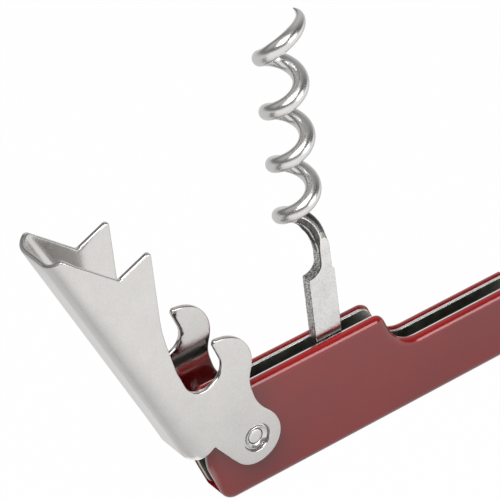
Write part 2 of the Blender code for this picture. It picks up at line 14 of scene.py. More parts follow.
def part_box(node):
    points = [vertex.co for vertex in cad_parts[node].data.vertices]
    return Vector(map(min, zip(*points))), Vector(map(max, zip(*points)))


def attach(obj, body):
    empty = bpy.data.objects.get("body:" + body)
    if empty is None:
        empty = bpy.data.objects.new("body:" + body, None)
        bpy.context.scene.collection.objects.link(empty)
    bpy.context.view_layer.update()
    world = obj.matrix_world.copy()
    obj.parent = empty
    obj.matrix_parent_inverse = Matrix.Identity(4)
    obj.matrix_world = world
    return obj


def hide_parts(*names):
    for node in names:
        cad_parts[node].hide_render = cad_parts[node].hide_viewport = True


bl_info = {
    "name": "Waiter's Corkscrew",
    "version": (1, 0, 0),
    "blender": (4, 5, 0),
    "location": "View3D > Sidebar > Corkscrew",
    "description": "Builds the finished pieces of a folding waiter's corkscrew on its frame",
    "category": "Object",
}

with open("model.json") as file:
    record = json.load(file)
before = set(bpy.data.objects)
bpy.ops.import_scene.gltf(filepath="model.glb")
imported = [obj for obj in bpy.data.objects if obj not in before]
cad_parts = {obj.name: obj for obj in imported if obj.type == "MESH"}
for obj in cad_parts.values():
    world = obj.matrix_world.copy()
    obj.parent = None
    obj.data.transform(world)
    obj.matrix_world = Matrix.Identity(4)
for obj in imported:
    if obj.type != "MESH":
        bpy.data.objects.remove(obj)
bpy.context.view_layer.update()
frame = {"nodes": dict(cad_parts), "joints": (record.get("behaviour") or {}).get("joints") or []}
PIVOT = {joint["child"]: Vector(joint["pos_m"]) for joint in frame["joints"]}
SHELL_LOW, SHELL_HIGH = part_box("handle_shell")
LINER_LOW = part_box("front_liner")[0]
LEVER_LOW, LEVER_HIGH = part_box("lever")
MM = 0.001


def length(name, description, millimetres):
    return FloatProperty(
        name=name,
        description=description,
        default=millimetres * MM,
        min=0.0,
        unit="LENGTH",
        precision=5,
    )


def angle(name, description, degrees):
    return FloatProperty(
        name=name, description=description, default=math.radians(degrees), subtype="ANGLE"
    )


def colour(name, description, value):
    return FloatVectorProperty(
        name=name, description=description, default=value, size=3, min=0.0, max=1.0, subtype="COLOR"
    )


def amount(name, description, value, most=1.0):
    return FloatProperty(name=name, description=description, default=value, min=0.0, max=most)


class HandleSettings(PropertyGroup):
    low_top: length("Low top", "Height of the handle beyond its step", 13.2)
    step_at: length("Step", "Distance of the step from the lever's end", 38.0)
    step_run: length("Step run", "How far the step's slope reaches", 2.8)
    step_fillet: length("Step fillet", "Radius at the foot of the step", 6.5)
    step_corner: length("Step corner", "Radius at the top of the step", 2.2)
    end_back: length("End back", "How far the lever's end stands back from the frame's box", 0.4)
    end_slant: length("End slant", "How far the lever's end leans in at its corners", 2.5)
    end_flat: length("End flat", "Upright part of the lever's end", 6.0)
    end_radius: length("End radius", "Radius between the end's flat and slants", 8.0)
    end_corner: length("End corner", "Radius of the end's top corner", 1.6)
    end_foot: length("End foot", "Radius of the end's bottom corner", 2.6)
    tail_radius: length("Tail radius", "Radius of the blade's end", 5.5)
    wall: length("Wall", "Thickness of the folded shell", 1.25)
    edge: length("Edge", "How far the rounding of the outer edges reaches on the rim", 1.1)
    edge_reach: length("Edge reach", "How far that rounding reaches on the faces", 1.5)
    lip: length("Lip", "Radius of the shell's inner edges", 0.16)
    liner_inset: length("Liner inset", "How far the liners sit below the shell's edge", 0.3)
    liner_edge: length("Liner edge", "Radius of the liners' edges", 0.18)
    thumb_radius: length("Thumb radius", "Radius of the thumb cut", 8.0)
    thumb_from_pivot: length("Thumb cut", "Distance of the thumb cut from the blade's pin", 31.0)
    thumb_floor: length("Thumb floor", "Height of the thumb cut's lowest point", 9.0)


class LeverSettings(PropertyGroup):
    open_angle: angle("Open angle", "How far the lever stands open from flat", 111.4)
    back: length("Back", "Height of the lever's back above its rivet when flat", 12.0)
    back_drop: length("Back drop", "How much lower the back lies at the heel", 0.6)
    sheet: length("Sheet", "Thickness of the folded sheet", 0.95)
    bend: length("Bend", "Outer radius of the two folds", 3.8)
    edge: length("Edge", "Radius of the punched edges", 0.3)
    hole: length("Hole", "Diameter of the rivet's hole", 3.34)
    dimple_floor: length("Dimple floor", "Radius of the dimple's flat floor", 2.25)
    dimple_mouth: length("Dimple mouth", "Radius where the dimple meets the ear", 2.65)
    dimple_depth: length("Dimple depth", "Depth of the dimple round the rivet", 1.9)
    rivet: length("Rivet", "Diameter of the rivet", 3.1)
    washer: length("Washer", "Outer diameter of the rivet's washers", 4.24)


class WormSettings(PropertyGroup):
    diameter: length("Diameter", "Outside diameter of the worm", 8.7)
    wire: length("Wire", "Diameter of the worm's wire", 2.7)
    pitch: length("Pitch", "Rise of one turn", 10.0)
    offset: length("Offset", "Distance of the worm's axis from its pin", 2.75)
    start: length("Start", "Height of the first turn above the pin", 29.0)
    start_angle: angle("Start angle", "Direction in which the first turn begins", 65.0)
    turn: angle("Turn", "How far the wire turns from neck to point", 1399.0)
    tip_turn: angle("Tip turn", "How much of the last turn tapers to the point", 160.0)
    tip_radius: length("Tip radius", "Radius of the very point", 0.1)
    tip_flare: length("Tip flare", "How far the point spreads out of the turns", 1.0)
    tip_drop: length("Tip drop", "How far the point dips back to the turns", 0.5)
    tip_raise: length("Tip raise", "How far the last turn is drawn up", 1.5)
    tip_draw: amount("Tip draw", "How much the last turn is drawn straight", 0.23)
    shank_width: length("Shank width", "Width of the flat shank", 5.3)
    shank: length("Shank", "Thickness of the flat shank", 2.1)
    shank_top: length("Shank top", "Height of the shank's shoulder above the pin", 18.25)
    neck_flare: length("Neck flare", "How far the neck's torn edge stands out", 0.5)
    neck_width: length("Neck width", "Width of the neck above the shoulder", 2.2)


class BladeSettings(PropertyGroup):
    reach: length("Length", "Length of the blade from its pin to its point", 42.0)
    height: length("Height", "Height of the blade", 8.4)
    thickness: length("Thickness", "Thickness of the blade's spine", 1.5)
    tang: length("Tang", "Length of the unground part behind the pin", 9.0)
    grind: length("Grind", "Height of the ground bevel", 2.6)


class FinishSettings(PropertyGroup):
    red: colour("Lacquer", "Colour of the handle's lacquer", (0.44, 0.012, 0.014))
    steel: colour("Satin steel", "Colour of the satin sheet", (0.57, 0.555, 0.54))
    bright: colour("Polished steel", "Colour of the polished wire", (0.60, 0.59, 0.58))
    dull_and_painted_shade: colour("Dull steel", "Colour of unpolished inner faces", (0.33, 0.34, 0.30))
    lacquer_gloss: amount("Lacquer roughness", "Roughness of the lacquer", 0.09)
    lacquer_coat: amount("Lacquer coat", "Weight of the clear coat on the lacquer", 0.42)
    satin: amount("Satin roughness", "Roughness of the satin sheet", 0.12)
    polish: amount("Polish roughness", "Roughness of the polished wire", 0.28)


class StageSettings(PropertyGroup):
    lens: amount("Lens", "Focal length of the camera in millimetres", 212.46, 1000.0)
    floor: colour("Floor", "Colour of the floor", (1.0, 1.0, 1.0))
    fill: amount("Fill", "Strength of the light from all round", 0.15)
    key: amount("Key", "Strength of the main lamp in watts", 4.4, 100.0)
    sky_dim: amount("Dim sky", "Brightness of the room above, in front and to the left", 0.2)
    sky_bright: amount("Bright sky", "Brightness of the room above, behind and to the right", 0.9)
    window: amount("Window", "Brightness of the low window in front", 5.6, 20.0)


def sum_of(operation, swapped=False):
    """A method for sums with a Value, which adds one Math node."""

    def method(self, other):
        return self.math(operation, *((other, self) if swapped else (self, other)))

    return method


class Value:
    """A node socket that takes part in Python sums, each of which adds a Math node."""

    def __init__(self, tree, socket):
        self.tree = tree
        self.socket = socket

    def math(self, operation, *terms):
        made = self.tree.nodes.new("ShaderNodeMath")
        made.operation = operation
        for target, term in zip(made.inputs, terms):
            connect(self.tree, target, term)
        return Value(self.tree, made.outputs[0])

    __add__ = __radd__ = sum_of("ADD")
    __sub__ = sum_of("SUBTRACT")
    __rsub__ = sum_of("SUBTRACT", swapped=True)
    __mul__ = __rmul__ = sum_of("MULTIPLY")
    __truediv__ = sum_of("DIVIDE")
    __pow__ = sum_of("POWER")

    def clipped(self):
        return self.math("MINIMUM", self.math("MAXIMUM", self, 0.0), 1.0)

    def ramp(self, start, end):
        """0 up to the start, 1 from the end on, and even between; the end may be the lower."""
        return ((self - start) / (end - start)).clipped()


def clamped(part):
    return min(1.0, max(0.0, part))


def smooth(part):
    """A part from 0 to 1 that starts and ends softly."""
    part = clamped(part)
    return part * part * (3 - 2 * part)


def connect(tree, target, value):
    if isinstance(value, Value):
        tree.links.new(value.socket, target)
    else:
        target.default_value = value


def add(tree, kind, settings=None, sockets=None, out=0):
    """Adds a node with its settings and the values or links of its sockets; gives one output."""
    made = tree.nodes.new(kind)
    for key, value in (settings or {}).items():
        setattr(made, key, value)
    for key, value in (sockets or {}).items():
        connect(tree, made.inputs[key], value)
    return Value(tree, made.outputs[out])


def axes(tree, vector, names):
    return [
        add(tree, "ShaderNodeSeparateXYZ", sockets={"Vector": vector}, out=name) for name in names
    ]


def rays(tree):
    """Whether a ray comes from the camera, off a glossy face or through a clear one."""
    kinds = ("Camera", "Glossy", "Transmission")
    return [add(tree, "ShaderNodeLightPath", out=f"Is {kind} Ray") for kind in kinds]


class Finish:
    """A material with a Principled shader, and the textures that its finish is made of."""

    def __init__(self, name):
        self.material = bpy.data.materials.get(name) or bpy.data.materials.new(name)
        self.material.use_nodes = True
        self.tree = self.material.node_tree
        self.tree.nodes.clear()
        self.shader = self.tree.nodes.new("ShaderNodeBsdfPrincipled")
        out = self.tree.nodes.new("ShaderNodeOutputMaterial")
        self.tree.links.new(self.shader.outputs["BSDF"], out.inputs["Surface"])
        self.place = add(self.tree, "ShaderNodeTexCoord", out="Object")

    def set(self, **values):
        for key, value in values.items():
            connect(self.tree, self.shader.inputs[key.replace("_", " ").title()], value)

    def noise(self, size, detail=2.0, stretch=(1.0, 1.0, 1.0)):
        """Cloudy noise from 0 to 1, with features of about the given size."""
        scale = tuple(1.0 / (size * part) for part in stretch)
        spread = add(
            self.tree, "ShaderNodeVectorMath", {"operation": "MULTIPLY"}, {0: self.place, 1: scale}
        )
        return add(
            self.tree,
            "ShaderNodeTexNoise",
            {"noise_dimensions": "3D"},
            {"Vector": spread, "Scale": 1.0, "Detail": detail, "Roughness": 0.55},
        )

    def blend(self, factor, first, second):
        return add(
            self.tree,
            "ShaderNodeMix",
            {"data_type": "RGBA"},
            {0: factor, 6: (*first, 1.0), 7: (*second, 1.0)},
            out=2,
        )

    def cloud(self, size, detail=2.0):
        """Noise with its middle values drawn apart, for soft patches."""
        return self.noise(size, detail).ramp(0.3, 0.7)

    def bump(self, height, depth, strength=1.0):
        normal = add(
            self.tree,
            "ShaderNodeBump",
            sockets={"Height": height, "Distance": depth, "Strength": strength},
        )
        connect(self.tree, self.shader.inputs["Normal"], normal)

    def metal(self, mark, tones, roughness):
        """Bare metal in two tones, mixed by the mark."""
        self.set(base_color=self.blend(mark, *tones), roughness=roughness, metallic=1.0)


def shades(tone, *factors):
    return [tuple(min(1.0, part * factor) for part in tone) for factor in factors]


def red_lacquer(look):
    made = Finish("red_lacquer")
    cloud = made.cloud(9 * MM)
    speck = made.noise(0.5 * MM, 1.0).ramp(0.62, 0.78)
    made.set(
        base_color=made.blend(cloud, *shades(look.red, 0.94, 1.06)),
        roughness=look.lacquer_gloss + 0.03 * cloud + 0.05 * speck,
        coat_weight=look.lacquer_coat,
        coat_roughness=0.05,
    )
    made.bump(made.noise(2.6 * MM, 1.0), 0.004 * MM)
    return made.material


def satin_steel(look):
    """Brushed sheet, more worn towards the lever's lip."""
    made = Finish("satin_steel")
    cloud = made.cloud(4.5 * MM, 3.0)
    grain = made.noise(0.3 * MM, 3.0)
    mark = 0.55 * cloud + 0.45 * grain.ramp(0.35, 0.65)
    height = axes(made.tree, made.place, "Z")[0]
    worn = height.ramp(54 * MM, 66 * MM)
    roughness = look.satin - 0.04 + 0.07 * cloud + 0.06 * grain + 0.2 * worn
    made.metal(mark, shades(look.steel, 0.93, 1.07), roughness)
    made.bump(grain + 2 * cloud, 0.006 * MM, 0.6)
    return made.material


def polished_steel(look):
    """Bright wire with a few small pits."""
    made = Finish("polished_steel")
    cloud = made.cloud(2.4 * MM)
    pit = made.noise(0.28 * MM).ramp(0.66, 0.78)
    roughness = look.polish - 0.03 + 0.06 * cloud + 0.15 * pit
    made.metal(pit * 0.4, shades(look.bright, 1.06, 0.6), roughness)
    made.bump(cloud - 0.15 * pit, 0.012 * MM, 0.7)
    return made.material


def ground_steel(look):
    """Steel ground along its length, which leaves fine upright lines and a few pits."""
    made = Finish("ground_steel")
    lines = made.noise(0.12 * MM, stretch=(1.0, 1.0, 24.0))
    pit = made.noise(0.3 * MM, 3.0).ramp(0.5, 0.7)
    cloud = made.cloud(2.2 * MM)
    roughness = look.satin + 0.06 * lines + 0.05 * cloud + 0.1 * pit
    made.metal(0.6 * pit + 0.4 * cloud, shades(look.bright, 1.12, 0.86), roughness)
    made.bump(lines + 0.5 * cloud - 0.8 * pit, 0.006 * MM, 0.6)
    return made.material


def cut_edge_and_painted_highlight(look):
    """The bare edge that blanking leaves on thin sheet, its colour raised above bare steel as a
    painted highlight.
    """
    made = Finish("cut_edge_and_painted_highlight")
    lines = made.noise(0.2 * MM, stretch=(1.0, 4.0, 4.0))
    # Base colour of 1.3 to 1.6 times the polished steel: a painted highlight on the liners' edges.
    made.metal(lines, shades(look.bright, 1.3, 1.6), 0.16 + 0.1 * lines)
    made.bump(lines, 0.004 * MM, 0.5)
    return made.material


def sheared_steel(look):
    """The torn, grainy edge that a press leaves on thick sheet."""
    made = Finish("sheared_steel")
    grit = made.noise(0.3 * MM, 3.0)
    clean = grit.ramp(0.4, 0.6)
    tones = shades(look.dull_and_painted_shade, 0.35) + shades(look.bright, 1.1)
    made.metal(clean, tones, 0.45 - 0.15 * clean)
    made.bump(grit, 0.1 * MM, 0.9)
    return made.material


def painted_dark_reflection(look):
    """Near-black steel laid in stripes on the neck and along the shank's corner as a painted dark
    reflection.
    """
    made = Finish("painted_dark_reflection")
    lines = made.noise(0.14 * MM, stretch=(1.0, 1.0, 9.0))
    fleck = lines.ramp(0.4, 0.7)
    # Base colour of 0.12 to 0.28 times the polished steel: a painted dark reflection.
    made.metal(fleck, shades(look.bright, 0.12, 0.28), 0.32 + 0.1 * fleck)
    made.bump(lines, 0.01 * MM, 0.5)
    return made.material


def dull_steel_and_painted_shade(look):
    """Unpolished steel inside the handle, also laid on a band of the worm's neck as painted shade.
    """
    made = Finish("dull_steel_and_painted_shade")
    cloud = made.cloud(3.0 * MM, 3.0)
    made.metal(cloud, shades(look.dull_and_painted_shade, 0.8, 1.2), 0.38 + 0.1 * cloud)
    made.bump(made.noise(0.3 * MM), 0.006 * MM, 0.5)
    return made.material


def rounded(corners, step=5.0):
    """The points of an outline given as (across, up, radius) corners, each corner an arc."""
    bends = []
    for i, (x, z, radius) in enumerate(corners):
        here = Vector((x, z))
        back = Vector(corners[i - 1][:2]) - here
        ahead = Vector(corners[(i + 1) % len(corners)][:2]) - here
        turn = math.pi - back.angle(ahead)
        bends.append((here, back, ahead, turn, radius * math.tan(turn / 2)))
    points = []
    for i, (here, back, ahead, turn, wanted) in enumerate(bends):
        reach = wanted
        for side, other in ((back, bends[i - 1]), (ahead, bends[(i + 1) % len(bends)])):
            if wanted + other[4] > side.length * 0.98:
                reach = min(reach, side.length * 0.98 * wanted / (wanted + other[4]))
        if reach < 1e-6:
            points.append(here)
            continue
        radius = reach / math.tan(turn / 2)
        steps = max(1, math.ceil(math.degrees(turn) / step))
        start = here + back.normalized() * reach
        inward = (back.normalized() + ahead.normalized()).normalized()
        centre = here + inward * (radius / math.cos(turn / 2))
        side = 1 if back.cross(ahead) < 0 else -1
        for k in range(steps + 1):
            spoke = start - centre
            spoke.rotate(Matrix.Rotation(side * turn * k / steps, 2))
            points.append(centre + spoke)
    return points


def new_object(name, mesh):
    made = bpy.data.objects.new(name, mesh)
    bpy.context.scene.collection.objects.link(made)
    return made


def built(name, shape):
    """A new object with the given bmesh shape, which is used up."""
    mesh = bpy.data.meshes.new(name)
    shape.to_mesh(mesh)
    shape.free()
    return new_object(name, mesh)


def circle(x, z, radius, steps):
    turns = [2 * math.pi * k / steps for k in range(steps)]
    return [(x + radius * math.cos(t), z + radius * math.sin(t)) for t in turns]


def slab(name, points, low, high):
    """A flat outline in X and Z, with its thickness from low to high along Y."""
    shape = bmesh.new()
    face = shape.faces.new([shape.verts.new((x, low, z)) for x, z in points])
    rest = bmesh.ops.extrude_face_region(shape, geom=[face])["geom"]
    moved = [item for item in rest if isinstance(item, bmesh.types.BMVert)]
    bmesh.ops.translate(shape, verts=moved, vec=(0, high - low, 0))
    bmesh.ops.recalc_face_normals(shape, faces=shape.faces)
    return built(name, shape)


def block(name, low, high):
    corners = [(low[0], low[2]), (high[0], low[2]), (high[0], high[2]), (low[0], high[2])]
    return slab(name, corners, low[1], high[1])


def drum(name, x, z, radius, low, high, steps=96):
    """A round bar along Y."""
    return slab(name, circle(x, z, radius, steps), low, high)


def lathe(name, profile, centre, steps=72):
    """A closed run of (radius, Y) points turned about an axis along Y through the centre."""
    shape = bmesh.new()
    rings = []
    for radius, y in profile:
        if radius < 1e-7:
            rings.append([shape.verts.new((centre.x, y, centre.z))] * steps)
            continue
        ring = circle(centre.x, centre.z, radius, steps)
        rings.append([shape.verts.new((x, y, z)) for x, z in ring])
    for first, second in zip(rings, rings[1:]):
        for k in range(steps):
            n = (k + 1) % steps
            corners = list(dict.fromkeys((first[k], first[n], second[n], second[k])))
            if len(corners) > 2:
                shape.faces.new(corners)
    bmesh.ops.remove_doubles(shape, verts=shape.verts, dist=1e-7)
    bmesh.ops.recalc_face_normals(shape, faces=shape.faces)
    return built(name, shape)


def cut(obj, tool):
    change = obj.modifiers.new(tool.name, "BOOLEAN")
    change.operation = "DIFFERENCE"
    change.solver = "EXACT"
    change.object = tool


def soften(obj, width, segments, limit):
    """Rounds the edges that are sharper than the limit, in degrees."""
    change = obj.modifiers.new("edges", "BEVEL")
    change.width = width
    change.segments = segments
    change.limit_method = "ANGLE"
    change.angle_limit = math.radians(limit)
    change.use_clamp_overlap = True


def settle(obj, tools=(), sharp=32.0):
    """Applies the modifiers, removes the tools and shades the piece by its edges."""
    weigh = obj.modifiers.new("flats", "WEIGHTED_NORMAL")
    weigh.keep_sharp = True
    weigh.weight = 100
    obj.data.shade_smooth()
    obj.data.set_sharp_from_angle(angle=math.radians(sharp))
    bpy.context.view_layer.update()
    graph = bpy.context.evaluated_depsgraph_get()
    mesh = bpy.data.meshes.new_from_object(obj.evaluated_get(graph))
    mesh.name = obj.name
    old = obj.data
    obj.modifiers.clear()
    obj.data = mesh
    bpy.data.meshes.remove(old)
    for tool in tools:
        bpy.data.objects.remove(tool, do_unlink=True)
    return obj


def dress(obj, materials, body, node):
    """Gives a finished piece its materials, and puts it on its body in place of its node."""
    obj.data.materials.clear()
    for material in materials:
        obj.data.materials.append(material)
    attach(obj, body)
    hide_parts(node)


def handle_outline(sizes, inset, bottom):
    """The side view of the handle, drawn in by inset (half at the lever's end), from bottom up."""
    left = SHELL_LOW.x + sizes.end_back + inset / 2
    right = SHELL_HIGH.x - inset
    top = SHELL_HIGH.z
    high = top - inset
    low = sizes.low_top - inset
    step = SHELL_LOW.x + sizes.step_at - inset
    flat_foot = (top - sizes.end_flat) / 2
    return rounded(
        [
            (left + sizes.end_slant * (1 - bottom / flat_foot), bottom, sizes.end_foot),
            (right, bottom, sizes.tail_radius),
            (right, low, sizes.tail_radius),
            (step + sizes.step_run, low, sizes.step_fillet),
            (step, high, sizes.step_corner),
            (left + sizes.end_slant, high, sizes.end_corner),
            (left, (top + sizes.end_flat) / 2, sizes.end_radius),
            (left, flat_foot, sizes.end_radius),
        ]
    )


def thumb_tool(sizes, name):
    x = PIVOT["knife"].x - sizes.thumb_from_pivot
    z = sizes.thumb_floor + sizes.thumb_radius
    return drum(name, x, z, sizes.thumb_radius, 2 * SHELL_LOW.y, 2 * SHELL_HIGH.y)


class CORKSCREW_OT_shell(Operator):
    """Build the red folded shell of the handle"""

    bl_idname = "corkscrew.shell"
    bl_label = "Handle Shell"

    def execute(self, context):
        sizes = context.scene.corkscrew_handle
        look = context.scene.corkscrew_finish
        outline = handle_outline(sizes, 0.0, 0.0)
        # Edges that are rounded on a wider slab are elliptical once the slab is narrowed.
        stretch = sizes.edge_reach / sizes.edge
        shell = slab("shell", outline, SHELL_LOW.y * stretch, SHELL_HIGH.y * stretch)
        soften(shell, sizes.edge_reach, 9, 60)
        settle(shell)
        shell.data.transform(Matrix.Scale(1 / stretch, 4, (0, 1, 0)))
        inner = SHELL_HIGH.y - sizes.wall
        past = 5 * MM
        slot = block(
            "slot_tool",
            (SHELL_LOW.x - past, -inner, sizes.wall),
            (SHELL_HIGH.x + past, inner, SHELL_HIGH.z + past),
        )
        thumb = thumb_tool(sizes, "shell_thumb_tool")
        cut(shell, slot)
        cut(shell, thumb)
        soften(shell, sizes.lip, 3, 50)
        settle(shell, (slot, thumb))
        dress(shell, [red_lacquer(look)], "handle", "handle_shell")
        return {"FINISHED"}


class CORKSCREW_OT_liners(Operator):
    """Build the two steel liners inside the handle"""

    bl_idname = "corkscrew.liners"
    bl_label = "Liners"

    def execute(self, context):
        sizes = context.scene.corkscrew_handle
        look = context.scene.corkscrew_finish
        outline = handle_outline(sizes, sizes.liner_inset, LINER_LOW.z)
        for node in ("front_liner", "rear_liner"):
            low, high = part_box(node)
            plate = slab(node + "_plate", outline, low.y, high.y)
            thumb = thumb_tool(sizes, node + "_thumb_tool")
            cut(plate, thumb)
            soften(plate, sizes.liner_edge, 3, 50)
            settle(plate, (thumb,))
            # The liners' edges take the cut-edge finish with its painted highlight; flat faces and
            # the lever's end take dull steel.
            dress(plate, [cut_edge_and_painted_highlight(look), dull_steel_and_painted_shade(look)], "handle", node)
            for face in plate.data.polygons:
                flat = abs(face.normal.y) > 0.9
                end = face.normal.x < -0.5
                face.material_index = int(flat or end)
        return {"FINISHED"}


class LeverSheet:
    """The lever's flat pattern, and how it folds round its back into a U."""

    # All in millimetres. Corners of the lip: along from the rivet, up, and radius.
    FRONT_LIP = (57.5, 9.7, 0.8)
    REAR_LIP = (56.55, 9.2, 1.3)
    # The back drops evenly from lip to heel; the drop sets in between the ears and the folds.
    LIP_AT, HEEL_AT = 56.5, 12.0
    EAR_TOP, FOLD_FOOT = 5.5, 8.2

    def __init__(self, sizes):
        self.sizes = sizes
        self.half = (LEVER_HIGH.y - LEVER_LOW.y) / 2
        self.web = self.half - sizes.bend
        self.arc = sizes.bend * math.pi / 2

    def side(self, lip):
        """The side view from the lip's corner round to the heel: along from the rivet, and up."""
        back = self.sizes.back / MM
        corners = [
            (self.LIP_AT, back, 0),
            lip,
            (46.7, 3.95, 0.5),
            (46.85, -2.85, 0.6),
            (32.3, 3.15, 25),
            (23.6, 4.85, 8),
            (16.25, 5.25, 3.4),
            (16.25, -2.1, 3.2),
            (23.45, -2.55, 0.75),
            (20.96, -6.9, 6.65),
            (14.94, -7.75, 6.65),
            (11.0, -4.25, 6),
            (5.8, -3.3, 8),
            (1.45, -4.9, 6),
            (-4.9, -4.9, 4.9),
            (-4.9, 4.0, 4.9),
            (0.65, 5.65, 9),
            (5.2, 7.1, 0.4),
            (4.6, 10.8, 2.0),
            (5.2, back, 0),
        ]
        return rounded([(x * MM, z * MM, r * MM) for x, z, r in corners], 6.0)

    def flat(self, up):
        """Distance from the middle of the back, over the sheet, to a height in the side view."""
        drop = self.sizes.back - up
        if drop >= self.sizes.bend:
            return self.web + self.arc + drop - self.sizes.bend
        return self.web + self.sizes.bend * math.acos(max(-1.0, 1 - drop / self.sizes.bend))

    def fold(self, along, across):
        """The place on the folded sheet's outer face of a point of the flat pattern."""
        place = self.even_fold(along, across)
        heel = clamped((self.LIP_AT - along / MM) / (self.LIP_AT - self.HEEL_AT))
        high = clamped((place.z / MM - self.EAR_TOP) / (self.FOLD_FOOT - self.EAR_TOP))
        place.z -= self.sizes.back_drop * heel * high
        return place

    def even_fold(self, along, across):
        """That place before the back is lowered towards the heel."""
        side = 1 if across >= 0 else -1
        run = abs(across)
        bend = self.sizes.bend
        if run <= self.web:
            return Vector((along, across, self.sizes.back))
        if run <= self.web + self.arc:
            turn = (run - self.web) / bend
            y = self.web + bend * math.sin(turn)
            return Vector((along, side * y, self.sizes.back - bend * (1 - math.cos(turn))))
        up = self.sizes.back - bend - (run - self.web - self.arc)
        return Vector((along, side * (self.half - self.sunk(along, up)), up))

    def sunk(self, along, up):
        """How deep the ear's outer face lies in the dimple round the rivet."""
        sizes = self.sizes
        reach = math.hypot(along, up)
        part = (sizes.dimple_mouth - reach) / (sizes.dimple_mouth - sizes.dimple_floor)
        return sizes.dimple_depth * smooth(part)

    def place(self, along, across, depth):
        """A point of the flat pattern on the folded sheet, at a depth below its outer face."""
        tick = 0.01 * MM
        here = self.fold(along, across)
        run = self.fold(along + tick, across) - self.fold(along - tick, across)
        rise = self.fold(along, across + tick) - self.fold(along, across - tick)
        return here - run.cross(rise).normalized() * depth


def evenly(points, step):
    """A closed run of points set out again about one step apart."""
    ends = points[1:] + points[:1]
    whole = sum((end - start).length for start, end in zip(points, ends))
    count = math.ceil(whole / step)
    even, gone, due = [], 0.0, 0.0
    for start, end in zip(points, ends):
        span = (end - start).length
        while due <= gone + span and len(even) < count:
            even.append(start.lerp(end, (due - gone) / span if span else 0.0))
            due += whole / count
        gone += span
    return even


def drawn_in(loop, depth):
    """The same closed run of points, each moved square to the run, to its left."""
    moved = []
    for i, point in enumerate(loop):
        way = (loop[(i + 1) % len(loop)] - loop[i - 1]).normalized()
        moved.append(point + Vector((-way.y, way.x)) * depth)
    return moved


def inside(point, outline):
    x, y = point
    hit = False
    for (ax, ay), (bx, by) in zip(outline, outline[1:] + outline[:1]):
        if (ay > y) != (by > y) and x < (bx - ax) * (y - ay) / (by - ay) + ax:
            hit = not hit
    return hit


